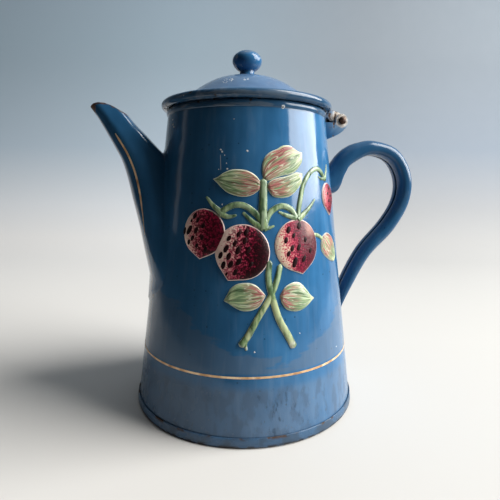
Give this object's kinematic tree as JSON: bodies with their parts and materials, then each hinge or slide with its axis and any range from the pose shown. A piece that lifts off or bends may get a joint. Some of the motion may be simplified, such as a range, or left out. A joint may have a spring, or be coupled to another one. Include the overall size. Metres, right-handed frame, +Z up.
{
  "type": "milk pot",
  "caption": "Tapered enamelled steel milk pot with a beak spout, a hollow ear handle, a domed lid on a rear hinge and a fruiting sprig in raised enamel",
  "frame": {"origin": "centre of the flat underside of the base pan", "axes": "+Z up through the knob, -X to the spout's tip, +X to the handle and the hinge, -Y to the sprig on the front"},
  "size_m": [0.2398, 0.1628, 0.2507],
  "materials": {
    "blue_enamel": "glossy vitreous enamel on sheet steel, greyed and speckled near the foot",
    "pale_enamel": "thin glossy enamel on steel, worn at its edges",
    "worn_iron": "bare iron with a brown patina",
    "zinced_steel": "dull zinced steel",
    "berry_enamel": "raised glossy crimson enamel with dark seeds and a cream edge",
    "leaf_enamel": "raised glossy green enamel streaked with pink and cream",
    "stem_enamel": "raised glossy pale green enamel"
  },
  "bodies": {
    "pot": {"body_shell": "blue_enamel", "base_pan": "blue_enamel", "spout": "blue_enamel", "handle": "blue_enamel", "hinge_bracket": "pale_enamel", "hinge_pin": "worn_iron", "berry_left": "berry_enamel", "berry_centre": "berry_enamel", "berry_right": "berry_enamel", "berry_small": "berry_enamel", "leaf_upper_left": "leaf_enamel", "leaf_upper_right": "leaf_enamel", "leaf_upper_back": "leaf_enamel", "leaf_side": "leaf_enamel", "leaf_lower_left": "leaf_enamel", "leaf_lower_right": "leaf_enamel", "stems_upper": "stem_enamel", "stems_lower": "stem_enamel"},
    "lid": {"lid_shell": "blue_enamel", "lid_collar": "pale_enamel", "lid_knob": "blue_enamel", "knob_rivet": "zinced_steel", "knob_washer": "zinced_steel", "hinge_leaf": "pale_enamel"}
  },
  "joints": [
    {"name": "lid_hinge", "type": "hinge", "parent": "pot", "child": "lid", "pos_m": [0.07, 0, 0.205], "axis": [0, 1, 0], "range_deg": [0, 105]}
  ]
}
